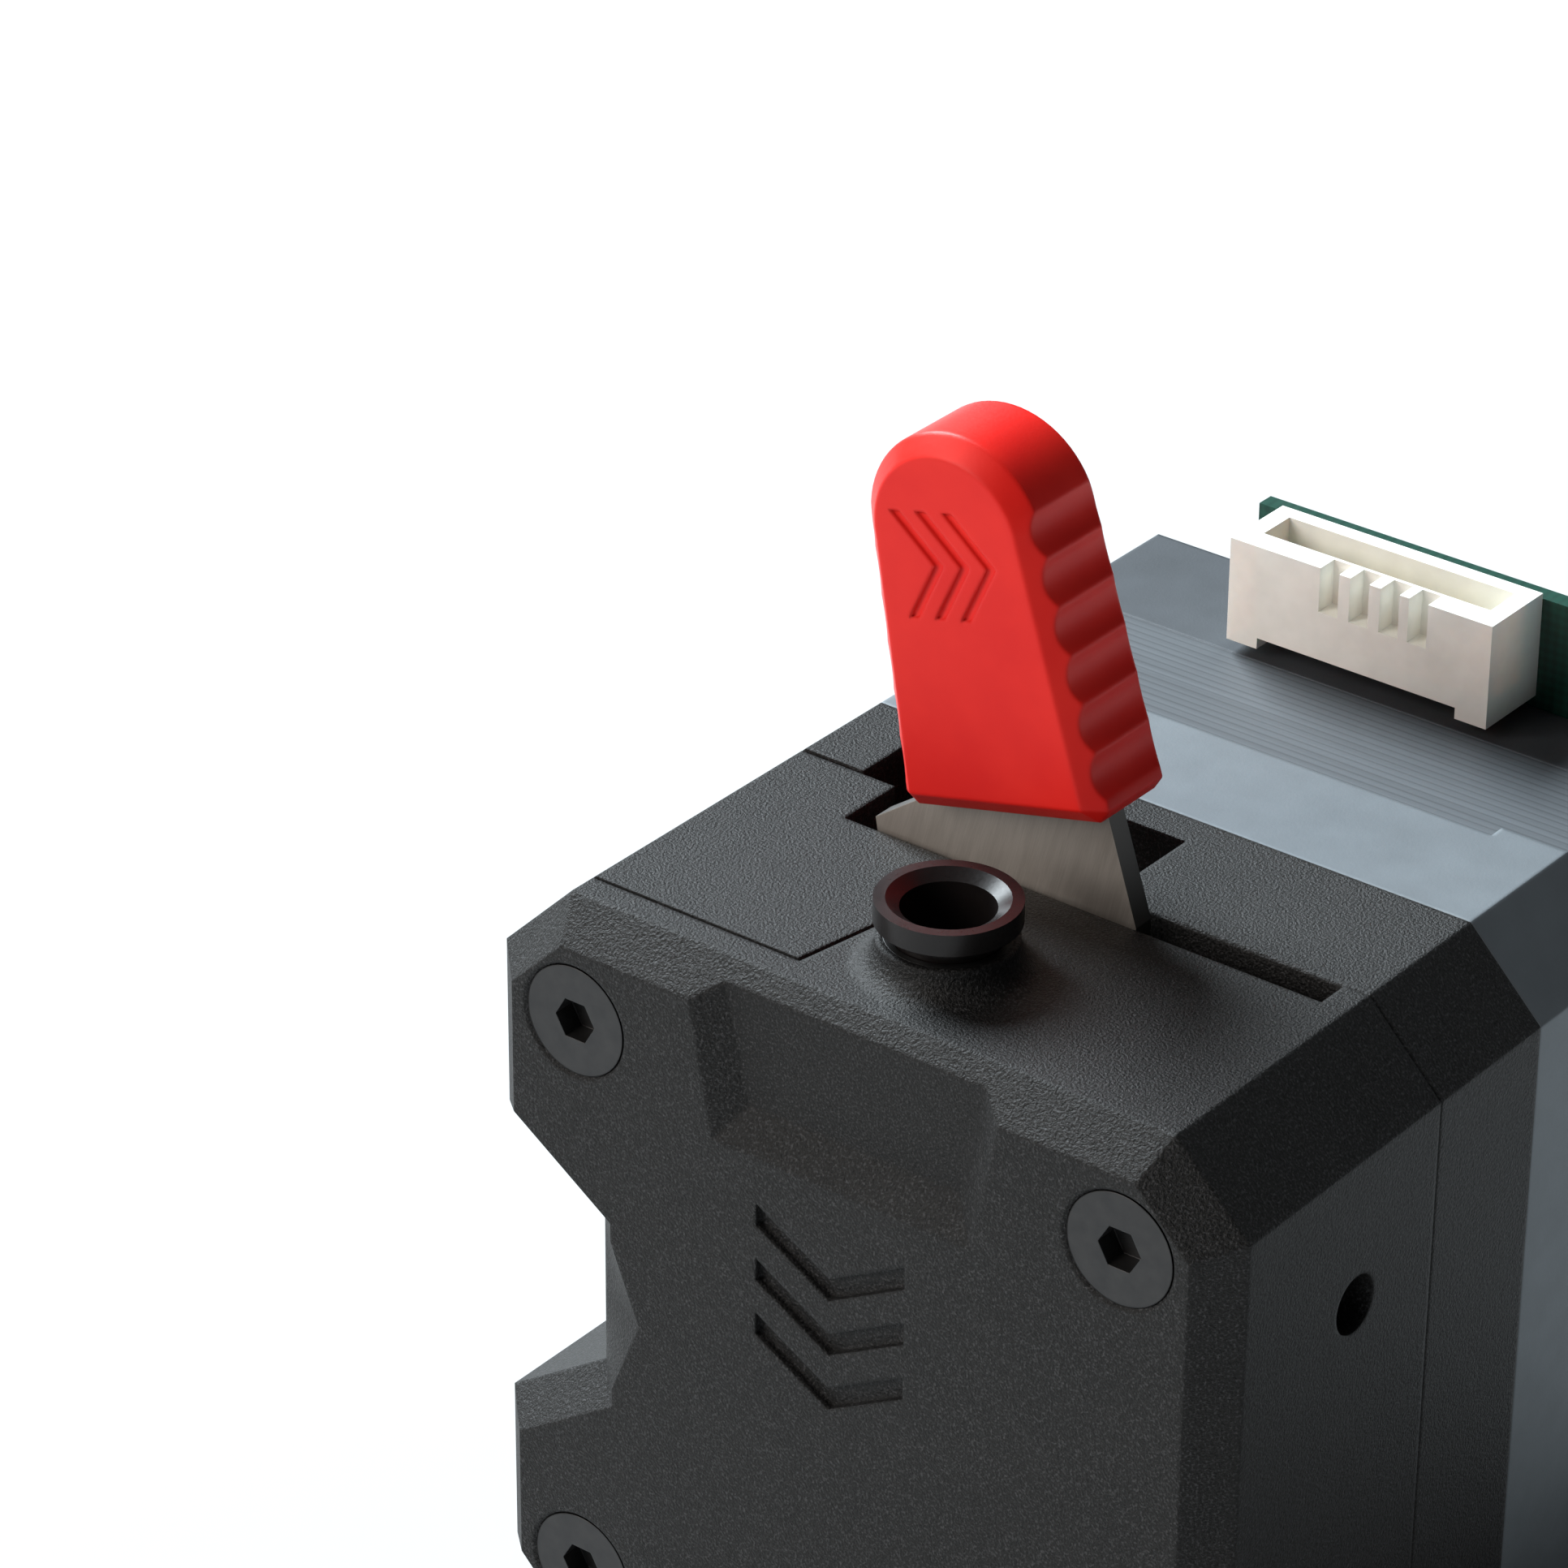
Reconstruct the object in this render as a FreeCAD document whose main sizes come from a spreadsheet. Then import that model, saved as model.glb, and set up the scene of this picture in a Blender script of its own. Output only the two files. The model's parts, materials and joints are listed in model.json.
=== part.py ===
import FreeCAD, Part
import math
import os
import re

import Sketcher
from FreeCAD import Placement, Rotation, Vector

# Compact dual-gear filament extruder on a square stepper motor.
# Frame: the origin is the centre of the filament outlet on the flat bottom face.
# +X runs to the right along the front face, +Y to the motor, +Z up the filament path.

doc = FreeCAD.newDocument("extruder")

DIMENSIONS = {
    # motor square, its centre and the depth planes of the housing
    "motor_x": -0.5, "motor_z": 21.15, "half_width": 21.15, "corner": 4.1,
    "front_y": -7.4, "cover_y": -4.05, "part_y": 9.6, "gearwall_y": 12.1,
    "pilot_y": 16.0, "motor_y": 18.0, "front_bevel": 1.9, "screw_offset": 15.5,
    # recess in the front face, and the waist in the left side of the front shell
    "recess_depth": 1.0,
    "waist_x": -15.8, "waist_top": 29.29, "waist_rise": 3.94, "facet_width": 3.6,
    # drive train
    "gear_offset": 5.0, "shaft_radius": 2.48, "gear_tip": 5.5, "train_distance": 11.0,
    "bearing_bore": 2.5, "bearing_outer": 4.0, "bearing_width": 2.5,
    # idler arm
    "arm_gap": 0.2, "arm_back": 7.75, "arm_ear_back": 11.7, "arm_ear_x": -11.9,
    "sleeve_outer": 2.5, "sleeve_inner": 1.6, "running": 0.04,
    "seam_radius": 11.84, "seam_slope": 0.1535, "axle_radius": 1.5,
    "spring_y": 12.8, "spring_z": 27.2, "spring_seat": -18.6, "lug_low": 23.2, "lug_high": 31.0,
    # release lever
    "lever_x": 1.7, "lever_z": 27.65, "lever_lean": 14.0, "lever_swing": 36.0,
    "plate_front": 7.95, "plate_back": 9.15, "cam_radius": 5.0, "cam_offset": 1.17,
    "handle_width": 11.8, "handle_top": 18.6, "handle_depth": 6.0, "handle_taper": 1.0,
    # filament path
    "collet_outer": 3.45, "collet_bore": 2.25, "collet_stem": 2.6, "boss_radius": 4.8,
    "neck_radius": 3.35, "boss_top": 43.8, "ring_bottom": 44.65, "ring_top": 45.75,
    "tube_outer": 2.0, "tube_bore": 1.0, "guide_end": 6.6,
    # fasteners
    "screw_radius": 1.5, "screw_clear": 1.65, "head_radius": 2.85, "sink_radius": 3.05,
    # motor depths
    "bell_back": 25.5, "core_back": 33.1, "motor_back": 41.5, "rotor_radius": 10.95,
    "lug_inner": 13.4, "lug_length": 0.9, "winding_radius": 17.8, "hub_radius": 8.2, "race_radius": 6.5,
    # motor connector
    "plug_front": 33.2, "pcb_front": 37.75, "pcb_back": 38.75,
}
DIMENSIONS["left_x"] = DIMENSIONS["motor_x"] - DIMENSIONS["half_width"]
DIMENSIONS["right_x"] = DIMENSIONS["motor_x"] + DIMENSIONS["half_width"]
DIMENSIONS["top_z"] = DIMENSIONS["motor_z"] + DIMENSIONS["half_width"]
DIMENSIONS["screw_left"] = DIMENSIONS["motor_x"] - DIMENSIONS["screw_offset"]
DIMENSIONS["screw_right"] = DIMENSIONS["motor_x"] + DIMENSIONS["screw_offset"]
DIMENSIONS["screw_low"] = DIMENSIONS["motor_z"] - DIMENSIONS["screw_offset"]
DIMENSIONS["screw_high"] = DIMENSIONS["motor_z"] + DIMENSIONS["screw_offset"]
DIMENSIONS["drive_z"] = DIMENSIONS["motor_z"] - math.sqrt(
    DIMENSIONS["train_distance"] ** 2 - (DIMENSIONS["gear_offset"] - DIMENSIONS["motor_x"]) ** 2)
_half_swing = math.radians(DIMENSIONS["lever_swing"] / 2)
DIMENSIONS["cam_x"] = DIMENSIONS["lever_x"] + DIMENSIONS["cam_offset"] * math.sin(_half_swing)
DIMENSIONS["cam_z"] = DIMENSIONS["lever_z"] - DIMENSIONS["cam_offset"] * math.cos(_half_swing)
DIMENSIONS["follower_x"] = DIMENSIONS["cam_x"] - DIMENSIONS["cam_radius"] - 0.12

sheet = doc.addObject("Spreadsheet::Sheet", "Dims")
for row, (alias, value) in enumerate(DIMENSIONS.items(), start=1):
    sheet.set(f"A{row}", alias)
    sheet.set(f"B{row}", f"{value:.5f}")
    sheet.setAlias(f"B{row}", alias)
doc.recompute()


def dim(alias):
    """A driving dimension as a number."""
    return float(getattr(sheet, alias))


def ref(expression):
    """The expression with each alias pointed at the sheet."""
    return re.sub(r"\b([a-z][a-z_]{3,})\b", r"Dims.\1", str(expression))


def bind(item, **paths):
    """Ties properties to the sheet; a double underscore stands for a dot."""
    for path, expression in paths.items():
        item.setExpression(path.replace("__", "."), ref(expression))
    return item


def place(item, x, y, z, rotation=Rotation()):
    item.Placement = Placement(Vector(), rotation)
    return bind(item, Placement__Base__x=x, Placement__Base__y=y, Placement__Base__z=z)


ALONG_Y = Rotation(Vector(1, 0, 0), -90)
ALONG_X = Rotation(Vector(0, 1, 0), 90)
UPRIGHT = Rotation(Vector(1, 0, 0), 90)


def box(name, x, y, z):
    """A box from three (low, high) pairs."""
    item = doc.addObject("Part::Box", name)
    bind(item, Length=f"({x[1]}) - ({x[0]})", Width=f"({y[1]}) - ({y[0]})", Height=f"({z[1]}) - ({z[0]})")
    return place(item, x[0], y[0], z[0])


def rod_y(name, x, z, radius, y0, y1):
    item = doc.addObject("Part::Cylinder", name)
    bind(item, Radius=radius, Height=f"({y1}) - ({y0})")
    return place(item, x, y0, z, ALONG_Y)


def rod_z(name, x, y, radius, z0, z1):
    item = doc.addObject("Part::Cylinder", name)
    bind(item, Radius=radius, Height=f"({z1}) - ({z0})")
    return place(item, x, y, z0)


def rod_x(name, y, z, radius, x0, x1):
    item = doc.addObject("Part::Cylinder", name)
    bind(item, Radius=radius, Height=f"({x1}) - ({x0})")
    return place(item, x0, y, z, ALONG_X)


def cone(name, x, y, z, low, high, height, rotation=Rotation()):
    item = doc.addObject("Part::Cone", name)
    bind(item, Radius1=low, Radius2=high, Height=height)
    return place(item, x, y, z, rotation)


def fuse(name, parts):
    item = doc.addObject("Part::MultiFuse", name)
    item.Shapes = parts
    return item


def common(name, parts):
    item = doc.addObject("Part::MultiCommon", name)
    item.Shapes = parts
    return item


def cut(name, base, tools):
    item = doc.addObject("Part::Cut", name)
    item.Base = base
    item.Tool = tools[0] if len(tools) == 1 else fuse(name + "_tools", tools)
    return item


def group(name, parts):
    item = doc.addObject("Part::Compound", name)
    item.Links = parts
    return item


def outline_sketch(sketch, points):
    """Closed polygon; both coordinates of each corner are tied to the sheet."""
    count = len(points)
    for i in range(count):
        turn = [2 * math.pi * k / count for k in (i, i + 1)]
        ends = [Vector(20 * math.cos(a), 20 * math.sin(a), 0) for a in turn]
        sketch.addGeometry(Part.LineSegment(*ends), False)
    for i in range(count):
        sketch.addConstraint(Sketcher.Constraint("Coincident", i, 2, (i + 1) % count, 1))
    for i, (px, pz) in enumerate(points):
        angle = 2 * math.pi * i / count
        spans = (("DistanceX", math.cos(angle), px), ("DistanceY", math.sin(angle), pz))
        for kind, start, expression in spans:
            number = sketch.addConstraint(Sketcher.Constraint(kind, -1, 1, i, 1, 20 * start))
            sketch.setExpression(f"Constraints[{number}]", ref(expression))


def prism(name, points, y0, y1):
    """A polygon in the X-Z plane, extruded from y0 to y1."""
    sketch = doc.addObject("Sketcher::SketchObject", name + "_sketch")
    outline_sketch(sketch, points)
    place(sketch, "0", y0, "0", UPRIGHT)
    item = doc.addObject("Part::Extrusion", name)
    item.Base = sketch
    item.DirMode = "Custom"
    item.Dir = Vector(0, 1, 0)
    item.Solid = True
    return bind(item, LengthFwd=f"({y1}) - ({y0})")


def loft(name, sections, rotation=Rotation(), along="z"):
    """A straight-sided solid through polygons given as (level, points) pairs."""
    sketches = []
    for i, (level, points) in enumerate(sections):
        sketch = doc.addObject("Sketcher::SketchObject", f"{name}_section_{i}")
        outline_sketch(sketch, points)
        sketches.append(place(sketch, "0", *(("0", level) if along == "z" else (level, "0")), rotation))
    item = doc.addObject("Part::Loft", name)
    item.Sections = sketches
    item.Solid = True
    item.Ruled = True
    return item


def plate_body(name, points, y0, y1):
    """A padded body with its outline in the X-Z plane."""
    body = doc.addObject("PartDesign::Body", name)
    sketch = body.newObject("Sketcher::SketchObject", name + "_outline")
    plane = next(p for p in body.Origin.OriginFeatures if p.Role == "XZ_Plane")
    sketch.AttachmentSupport = [(plane, "")]
    sketch.MapMode = "FlatFace"
    outline_sketch(sketch, points)
    bind(sketch, AttachmentOffset__Base__z=f"-({y0})")
    pad = body.newObject("PartDesign::Pad", name + "_pad")
    pad.Profile = sketch
    pad.Reversed = True
    bind(pad, Length=f"({y1}) - ({y0})")
    doc.recompute()
    return body, pad


def bevel_front(body, feature, y_value, size):
    """Chamfers every edge that lies in the plane y = y_value."""
    edges = []
    for number, edge in enumerate(feature.Shape.Edges, start=1):
        if all(abs(v.Point.y - y_value) < 1e-6 for v in edge.Vertexes):
            edges.append(f"Edge{number}")
    chamfer = body.newObject("PartDesign::Chamfer", body.Name + "_bevel")
    chamfer.Base = (feature, edges)
    bind(chamfer, Size=size)
    return chamfer


def shape_node(name, shape):
    item = doc.addObject("Part::Feature", name)
    item.Shape = shape
    return item


def tube(name, x, z, inner, outer, y0, y1):
    hole = rod_y(name + "_hole", x, z, inner, f"{y0} - 1", f"{y1} + 1")
    return cut(name, rod_y(name + "_body", x, z, outer, y0, y1), [hole])


def upright_tube(name, inner, outer, z0, z1):
    hole = rod_z(name + "_hole", "0", "0", inner, f"{z0} - 1", f"{z1} + 1")
    return cut(name, rod_z(name + "_body", "0", "0", outer, z0, z1), [hole])


SQUARE = [("left_x + corner", "top_z"), ("right_x - corner", "top_z"), ("right_x", "top_z - corner"),
          ("right_x", "corner"), ("right_x - corner", "0"), ("left_x + corner", "0"),
          ("left_x", "corner"), ("left_x", "top_z - corner")]
WAISTED = SQUARE[:7] + [("left_x", "top_z - waist_top"), ("waist_x", "top_z - waist_top + waist_rise"),
                        ("waist_x", "waist_top - waist_rise"), ("left_x", "waist_top"), SQUARE[7]]
CORNERS = [(sx, sz) for sx in ("left", "right") for sz in ("low", "high")]


def screw_holes(name, radius, y0, y1):
    return [rod_y(f"{name}_{sx}_{sz}", f"screw_{sx}", f"screw_{sz}", radius, y0, y1) for sx, sz in CORNERS]


# --- gears -----------------------------------------------------------------------------------

PRESSURE = math.radians(20)


def involute(angle):
    return math.tan(angle) - angle


def gear_face(teeth, module, shift, thinning, phase):
    """Spur gear outline in the X-Z plane, with a tooth centred on the phase angle."""
    pitch = module * teeth / 2
    base = pitch * math.cos(PRESSURE)
    tip = pitch + module * (1 + shift)
    root = pitch - module * (1.25 - shift)
    width = module * (math.pi / 2 + 2 * shift * math.tan(PRESSURE)) - thinning
    half = width / (2 * pitch) + involute(PRESSURE)
    start = max(base, root)
    steps = [start + (tip - start) * k / 4 for k in range(5)]
    flank = [(r, half - involute(math.acos(min(1.0, base / r)))) for r in steps]

    def point(radius, angle):
        return Vector(radius * math.cos(angle), 0, radius * math.sin(angle))

    def bend(a, b, c):
        return Part.Arc(a, b, c).toShape()

    edges = []
    tooth = 2 * math.pi / teeth
    for k in range(teeth):
        mid = phase + k * tooth
        rise = [point(r, mid - a) for r, a in flank]
        fall = [point(r, mid + a) for r, a in reversed(flank)]
        foot, heel = point(root, mid - flank[0][1]), point(root, mid + flank[0][1])
        following = point(root, mid + tooth - flank[0][1])
        curve_up, curve_down = Part.BSplineCurve(), Part.BSplineCurve()
        curve_up.interpolate(rise)
        curve_down.interpolate(fall)
        if start > root:
            edges.append(Part.LineSegment(foot, rise[0]).toShape())
        edges += [curve_up.toShape(), bend(rise[-1], point(tip, mid), fall[0]), curve_down.toShape()]
        if start > root:
            edges.append(Part.LineSegment(fall[-1], heel).toShape())
        edges.append(bend(heel, point(root, mid + tooth / 2), following))
    return Part.Face(Part.Wire(edges))


def solid_rod(radius, y0, y1):
    return Part.makeCylinder(radius, y1 - y0, Vector(0, y0, 0), Vector(0, 1, 0))


SYNC_TEETH, SYNC_MODULE, SYNC_THINNING = 20, 0.5, 0.14
PINION_TEETH, WHEEL_TEETH, TRAIN_SHIFT, TRAIN_THINNING = 11, 33, 0.35, 0.05
GRIP_HALF, SYNC_WIDTH = 2.2, 3.0


def filament_gear(bore, phase):
    """Steel gear: a grooved grip section in front of the sync teeth."""
    teeth = gear_face(SYNC_TEETH, SYNC_MODULE, 0, SYNC_THINNING, phase)
    teeth.translate(Vector(0, GRIP_HALF, 0))
    gear = teeth.extrude(Vector(0, SYNC_WIDTH, 0)).fuse(solid_rod(4.9, -GRIP_HALF, GRIP_HALF))
    gear = gear.cut(Part.makeTorus(5.2, 0.95, Vector(), Vector(0, 1, 0)))
    return gear.cut(solid_rod(bore, -GRIP_HALF - 1, GRIP_HALF + SYNC_WIDTH + 1)).removeSplitter()


# --- housing: front shell --------------------------------------------------------------------

shell_body, shell_pad = plate_body("front_shell_blank", WAISTED, "front_y", "part_y")
bevel_front(shell_body, shell_pad, dim("front_y"), "front_bevel")

boss_sketch = doc.addObject("Sketcher::SketchObject", "inlet_boss_profile")
place(boss_sketch, "0", "0", "0", UPRIGHT)


def boss_profile(sketch):
    """Half section of the inlet boss: a concave flare from the base to the neck."""
    base, neck, top, seat = dim("boss_radius"), dim("neck_radius"), dim("boss_top"), dim("top_z") - 4
    flat = dim("top_z")
    middle = Vector(neck + 0.29 * (base - neck), flat + 0.29 * (top - 0.2 - flat), 0)
    corners = [Vector(neck, top, 0), Vector(0, top, 0), Vector(0, seat, 0), Vector(base, seat, 0),
               Vector(base, flat, 0)]
    sketch.addGeometry(Part.Arc(Vector(base, flat, 0), middle, Vector(neck, top - 0.2, 0)), False)
    sketch.addGeometry(Part.LineSegment(Vector(neck, top - 0.2, 0), corners[0]), False)
    for a, b in zip(corners[:-1], corners[1:]):
        sketch.addGeometry(Part.LineSegment(a, b), False)


boss_profile(boss_sketch)
boss = doc.addObject("Part::Revolution", "inlet_boss")
boss.Source = boss_sketch
boss.Axis = Vector(0, 0, 1)
boss.Base = Vector(0, 0, 0)
boss.Angle = 360
boss.Solid = True

SEAM_LENGTH = "part_y - cover_y"
arm_sweep = cone("arm_sweep", "screw_left", "cover_y", "screw_high", "seam_radius + arm_gap",
                 f"seam_radius + arm_gap + seam_slope * ({SEAM_LENGTH})", SEAM_LENGTH, ALONG_Y)
arm_bay = prism("arm_bay", [("-24", "33"), ("-3.3", "33"), ("-3.3", "4.9"), ("-13.1", "4.9"),
                            ("-13.1", "12.9"), ("waist_x", "top_z - waist_top + waist_rise"),
                            ("-24", "top_z - waist_top + waist_rise")], "cover_y", "part_y + 1")
idler_bay = rod_y("idler_bay", "-gear_offset", "drive_z", "gear_tip + 0.4", "cover_y", "part_y + 1")
gear_bay = rod_y("gear_bay", "gear_offset", "drive_z", "gear_tip + 0.6", "-2.9", "part_y + 1")
front_seat = rod_y("front_bearing_seat", "gear_offset", "drive_z", "bearing_outer", "-5.6", "0")
lever_bay = prism("lever_bay", [("-3.3", "top_z + 1"), ("15.2", "top_z + 1"), ("15.2", "40.2"),
                                ("12.9", "36.65"), ("8", "27"), ("8", "20.9"), ("-3.3", "20.9")],
                  "arm_back", "part_y + 1")
lever_pin_hole = rod_y("lever_pin_hole", "lever_x", "lever_z", "axle_radius", "3.7", "part_y + 1")
fitting_bore = rod_z("fitting_bore", "0", "0", "3", "35.9", "50")
inlet_hole = rod_z("inlet_hole", "0", "0", "tube_outer", "14", "40")
outlet_hole = rod_z("outlet_hole", "0", "0", "tube_outer", "-1", "9")
insert_holes = [rod_z(f"insert_hole_{side}", x, "0", "2.1", "-1", "4")
                for side, x in (("left", "-9"), ("right", "9"))]
side_hole = rod_x("side_hole", "3.3", "30.6", "screw_radius", "right_x - 6", "right_x + 1")

recess = loft("front_recess", [
    ("front_y - 0.01", [("-9.9", "44"), ("9.1", "44"), ("7", "33.4"), ("-7.8", "33.4")]),
    ("front_y + recess_depth", [("-8.4", "44"), ("7.6", "44"), ("5.6", "35.4"), ("-6.4", "35.4")])],
    UPRIGHT, "y")


def facet_section(width):
    """Triangle that shaves the waist's front edge, in the X-Y plane."""
    return [("waist_x - 0.5", "front_y - 0.5"), (f"waist_x + {width}", "front_y - 0.5"),
            (f"waist_x + {width}", "front_y"), ("waist_x", "front_y + front_bevel"),
            ("waist_x - 0.5", "front_y + front_bevel")]


waist_facet = loft("waist_facet", [("top_z - waist_top + waist_rise", facet_section("front_bevel")),
                                   ("top_z / 2", facet_section("facet_width")),
                                   ("waist_top - waist_rise", facet_section("front_bevel"))])


def chevron(name, z):
    """One arrow stroke that points down the filament path."""
    return prism(name, [("-5.2", f"{z} + 2.4"), ("-0.9", f"{z}"), ("3.4", f"{z} + 2.4"),
                        ("3.4", f"{z} + 1.2"), ("-0.9", f"{z} - 1.2"), ("-5.2", f"{z} + 1.2")],
                 "front_y - 1", "front_y + 0.45")


chevrons = [chevron(f"chevron_{i}", z) for i, z in enumerate((28.6, 25.6, 22.6))]
sinks = [cone(f"sink_{sx}_{sz}", f"screw_{sx}", "front_y", f"screw_{sz}", "sink_radius", "screw_clear",
              "sink_radius - screw_clear", ALONG_Y) for sx, sz in CORNERS]
front_tools = ([arm_sweep, arm_bay, idler_bay, gear_bay, front_seat, lever_bay, lever_pin_hole,
                fitting_bore, inlet_hole, outlet_hole, side_hole, recess, waist_facet]
               + insert_holes + chevrons + sinks
               + screw_holes("front_screw_hole", "screw_clear", "front_y - 1", "part_y + 1"))
front_shell = cut("front_shell", fuse("front_shell_solid", [shell_body, boss]), front_tools)

# --- housing: rear shell ---------------------------------------------------------------------

rear_body, rear_pad = plate_body("rear_shell_blank", SQUARE, "part_y", "motor_y")
bevel_front(rear_body, rear_pad, dim("part_y"), "0.15")
rear_tools = [
    box("ear_recess", ("-24", "arm_ear_x + 0.3"), ("part_y - 1", "arm_ear_back + 0.3"), ("29.6", "44")),
    box("window_left", ("-14", "-4.9"), ("part_y - 1", "pilot_y"), ("21.8", "44")),
    box("window_right", ("-6", "2"), ("part_y - 1", "pilot_y"), ("31.5", "44")),
    rod_x("spring_pocket", "spring_y", "spring_z", "2.8", "spring_seat", "-13"),
    rod_y("pinion_bay", "motor_x", "motor_z", "3.9", "gearwall_y", "motor_y + 1"),
    rod_y("pilot_bay", "motor_x", "motor_z", "11.05", "pilot_y - 0.1", "motor_y + 1"),
    rod_y("wheel_bay", "gear_offset", "drive_z", "9.2", "gearwall_y", "motor_y + 1"),
    rod_y("rear_bearing_seat", "gear_offset", "drive_z", "bearing_outer", "part_y - 1", "gearwall_y + 1"),
    rod_y("rear_pin_hole", "lever_x", "lever_z", "axle_radius", "part_y - 1", "13.6"),
] + screw_holes("rear_screw_hole", "screw_clear", "part_y - 1", "motor_y + 1")
rear_shell = cut("rear_shell", rear_body, rear_tools)

# --- fasteners, pins and bushes --------------------------------------------------------------


def cover_screw(name, sx, sz):
    """Countersunk socket screw that clamps both shells to the motor."""
    x, z = f"screw_{sx}", f"screw_{sz}"
    head = cone(name + "_head", x, "front_y + 0.1", z, "head_radius", "screw_radius",
                "head_radius - screw_radius", ALONG_Y)
    shank = rod_y(name + "_shank", x, z, "screw_radius", "front_y + 1", "22.6")
    socket = doc.addObject("Part::Prism", name + "_socket")
    socket.Polygon = 6
    bind(socket, Circumradius="1.16", Height="1.4")
    place(socket, x, "front_y - 0.1", z, ALONG_Y)
    return cut(name, fuse(name + "_blank", [head, shank]), [socket])


cover_screws = group("cover_screws", [cover_screw(f"cover_screw_{sx}_{sz}", sx, sz) for sx, sz in CORNERS])
arm_pivot_sleeve = tube("arm_pivot_sleeve", "screw_left", "screw_high", "sleeve_inner", "sleeve_outer",
                        "cover_y", "arm_ear_back + 0.25")
lever_pivot_pin = rod_y("lever_pivot_pin", "lever_x", "lever_z", "axle_radius", "3.7", "13.6")
lever_washer = tube("lever_washer", "lever_x", "lever_z", "axle_radius", "3", "plate_back + 0.05",
                    "part_y - 0.05")


def threaded_insert(name, x):
    rim = rod_z(name + "_body", x, "0", "2.1", "0", "4")
    return cut(name, rim, [rod_z(name + "_thread", x, "0", "1.25", "-1", "5")])


threaded_inserts = group("threaded_inserts", [threaded_insert("insert_left", "-9"),
                                              threaded_insert("insert_right", "9")])

# --- filament path ---------------------------------------------------------------------------

fitting_sleeve = upright_tube("fitting_sleeve", "collet_stem + 0.06", "3", "37.4", "boss_top")
fitting_o_ring = upright_tube("fitting_o_ring", "2.05", "2.9", "36", "37.3")
collet_ring = rod_z("collet_ring", "0", "0", "collet_outer", "ring_bottom", "ring_top")
collet_stem = rod_z("collet_stem_rod", "0", "0", "collet_stem", "38.6", "ring_bottom")
collet_bore = rod_z("collet_bore_rod", "0", "0", "collet_bore", "38", "ring_top + 1")
collet_mouth = cone("collet_mouth", "0", "0", "ring_top - 0.45", "collet_bore", "collet_bore + 0.65",
                    "0.46")
inlet_collet = cut("inlet_collet", fuse("collet_blank", [collet_ring, collet_stem]),
                   [collet_bore, collet_mouth])
inlet_guide = upright_tube("inlet_guide", "tube_bore", "tube_outer", "2 * drive_z - guide_end", "35.8")
outlet_guide = upright_tube("outlet_guide", "tube_bore", "tube_outer", "0", "guide_end")

# --- bearings --------------------------------------------------------------------------------


def ball_bearing(name, x, z, y0, sizes, balls):
    """Two rings with a row of balls between them; sizes are bore, outer radius and width."""
    bore, outer, width = sizes
    step = (outer - bore) / 3.2
    ball = (outer - bore - 2 * step) / 2 - 0.02
    races = [solid_rod(r1, 0, width).cut(solid_rod(r0, -1, width + 1))
             for r0, r1 in ((bore, bore + step), (outer - step, outer))]
    middle = (bore + outer) / 2
    for k in range(balls):
        angle = 2 * math.pi * k / balls
        spot = Vector(middle * math.cos(angle), width / 2, middle * math.sin(angle))
        races.append(Part.makeSphere(ball, spot))
    node = shape_node(name, Part.makeCompound(races))
    node.Placement = Placement(Vector(x, y0, z), Rotation())
    return node


SMALL_BEARING = (dim("bearing_bore"), dim("bearing_outer"), dim("bearing_width"))
MOTOR_BEARING = (dim("bearing_bore"), 6.5, 4.0)
gear_x, gear_z = dim("gear_offset"), dim("drive_z")
motor_x, motor_z = dim("motor_x"), dim("motor_z")
front_bearing = ball_bearing("front_bearing", gear_x, gear_z, -5.6, SMALL_BEARING, 9)
rear_bearing = ball_bearing("rear_bearing", gear_x, gear_z, 9.6, SMALL_BEARING, 9)
motor_front_bearing = ball_bearing("motor_front_bearing", motor_x, motor_z, 18.6, MOTOR_BEARING, 8)
motor_rear_bearing = ball_bearing("motor_rear_bearing", motor_x, motor_z, 35.4, MOTOR_BEARING, 8)

# --- drive shaft and its gears ---------------------------------------------------------------

drive_shaft = rod_y("drive_shaft", "gear_offset", "drive_z", "shaft_radius", "-5.4", "15.7")
drive_spacer = tube("drive_spacer", "gear_offset", "drive_z", "shaft_radius", "3.4", "5.25", "9.5")
drive_gear = shape_node("drive_gear", filament_gear(dim("shaft_radius"), math.pi))
drive_gear.Placement = Placement(Vector(gear_x, 0, gear_z), Rotation())

mesh_angle = math.atan2(gear_z - motor_z, gear_x - motor_x)


WHEEL_WIDTH = 3.3
WEB_SIDES = ((-1, 0.8), (2.5, 5))
WEB_INNER, WEB_OUTER = 3.9, 6.6
OPENINGS = 6
OPENING_RADIUS, OPENING_RING = 0.85, 5.25


def wheel_shape():
    """Moulded reduction wheel with a thin web and round openings."""
    face = gear_face(WHEEL_TEETH, SYNC_MODULE, -TRAIN_SHIFT, TRAIN_THINNING,
                     mesh_angle + math.pi + math.pi / WHEEL_TEETH)
    wheel = face.extrude(Vector(0, WHEEL_WIDTH, 0)).cut(solid_rod(dim("shaft_radius"), -1, 5))
    for low, high in WEB_SIDES:
        wheel = wheel.cut(solid_rod(WEB_OUTER, low, high).cut(solid_rod(WEB_INNER, low - 1, high + 1)))
    for k in range(OPENINGS):
        turn = 2 * math.pi * k / OPENINGS
        hole = solid_rod(OPENING_RADIUS, -1, 5)
        hole.translate(Vector(OPENING_RING * math.cos(turn), 0, OPENING_RING * math.sin(turn)))
        wheel = wheel.cut(hole)
    return wheel


reduction_wheel = shape_node("reduction_wheel", wheel_shape())
reduction_wheel.Placement = Placement(Vector(gear_x, 12.35, gear_z), Rotation())

# --- idler arm -------------------------------------------------------------------------------

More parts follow.
